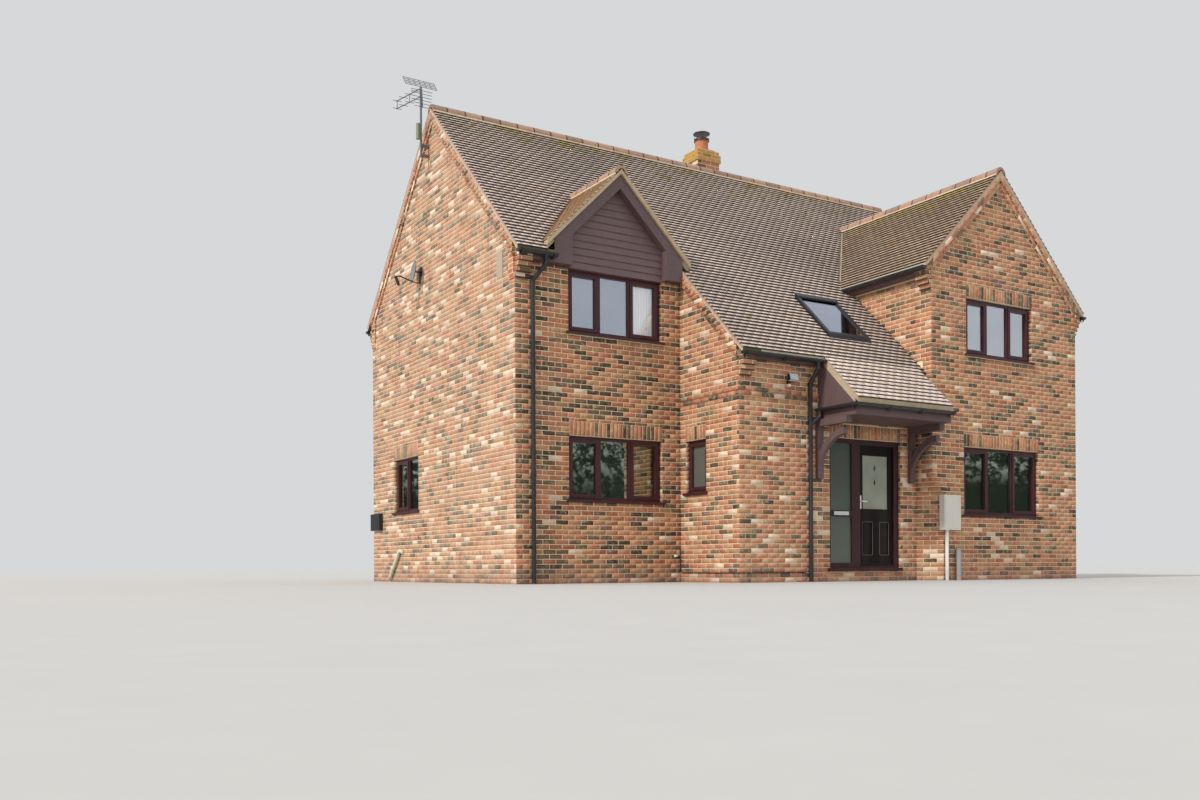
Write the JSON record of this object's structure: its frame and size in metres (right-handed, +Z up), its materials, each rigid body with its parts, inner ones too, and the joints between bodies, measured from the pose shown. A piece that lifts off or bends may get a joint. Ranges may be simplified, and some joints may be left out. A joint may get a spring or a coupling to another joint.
{
  "type": "detached house",
  "caption": "Detached two-storey brick house with a catslide tiled roof, wall dormer, gabled front wing, porch canopy and a hinged front door.",
  "frame": {"origin": "on the ground under the middle of the main ridge", "axes": "+X along the main ridge to the right as seen from the front, +Y to the back, +Z up"},
  "size_m": [11.3865, 8.892, 9.12],
  "materials": {
    "brickwork": "multicolour stretcher bond facing brick with cream mortar",
    "concrete": "floated concrete",
    "floor_timber": "boarded floor",
    "roof_tile": "weathered plain clay tiles",
    "ridge_clay": "half round clay ridge tiles bedded in mortar",
    "pot_clay": "unglazed clay",
    "brown_boards": "dark brown grained boards",
    "stained_timber": "dark stained timber",
    "black_plastic": "black rainwater goods",
    "brown_frames": "dark brown grained frames",
    "clear_glass": "sealed units",
    "obscure_glass": "obscured unit",
    "silver_metal": "satin",
    "cowl_metal": "matt black",
    "flashing_metal": "grey coated",
    "aerial_metal": "weathered",
    "dish_metal": "dark grey mesh",
    "cream_plastic": "weathered off white",
    "dark_fittings": "dark grey and black",
    "lead": "weathered lead"
  },
  "bodies": {
    "house": {"ground_floor_slab": "concrete", "upper_floor": "floor_timber", "west_gable_wall": "brickwork", "front_wall_left": "brickwork", "return_wall": "brickwork", "entrance_wall_left": "brickwork", "entrance_wall_right": "brickwork", "entrance_wall_over": "brickwork", "threshold_wall": "brickwork", "wing_west_wall": "brickwork", "wing_front_wall": "brickwork", "wing_east_wall": "brickwork", "east_gable_wall": "brickwork", "rear_wall_ground": "brickwork", "rear_wall_upper": "brickwork", "soldier_courses": "brickwork", "verge_bands": "brickwork", "kneelers": "brickwork", "front_roof": "roof_tile", "rear_roof": "roof_tile", "wing_roof": "roof_tile", "dormer_roof": "roof_tile", "dormer_cladding": "brown_boards", "bargeboards": "brown_boards", "canopy_roof": "roof_tile", "canopy_timbers": "brown_boards", "canopy_brackets": "stained_timber", "ridge_tiles": "ridge_clay", "eaves_boards": "brown_boards", "gutters": "black_plastic", "downpipes": "black_plastic", "ground_window_frames": "brown_frames", "upper_window_frames": "brown_frames", "window_sashes": "brown_frames", "return_window_sash": "brown_frames", "ground_window_glass": "clear_glass", "upper_window_glass": "clear_glass", "window_sills": "brown_frames", "door_frame": "brown_frames", "letter_plate": "silver_metal", "chimney_stack": "brickwork", "chimney_pot": "pot_clay", "chimney_cowl": "cowl_metal", "lead_flashings": "lead", "rooflight_frame": "flashing_metal", "tv_aerial": "aerial_metal", "satellite_dish": "dish_metal", "meter_box": "cream_plastic", "service_pipes": "cream_plastic", "wall_fittings": "dark_fittings"},
    "front_door": {"front_door": "brown_frames", "door_glass": "obscure_glass", "door_handle": "silver_metal", "door_hinges": "silver_metal"}
  },
  "joints": [
    {"name": "front_door_hinge", "type": "hinge", "parent": "house", "child": "front_door", "pos_m": [1.026, -4.451, 1.25], "axis": [0, 0, -1], "range_deg": [0, 95]}
  ]
}
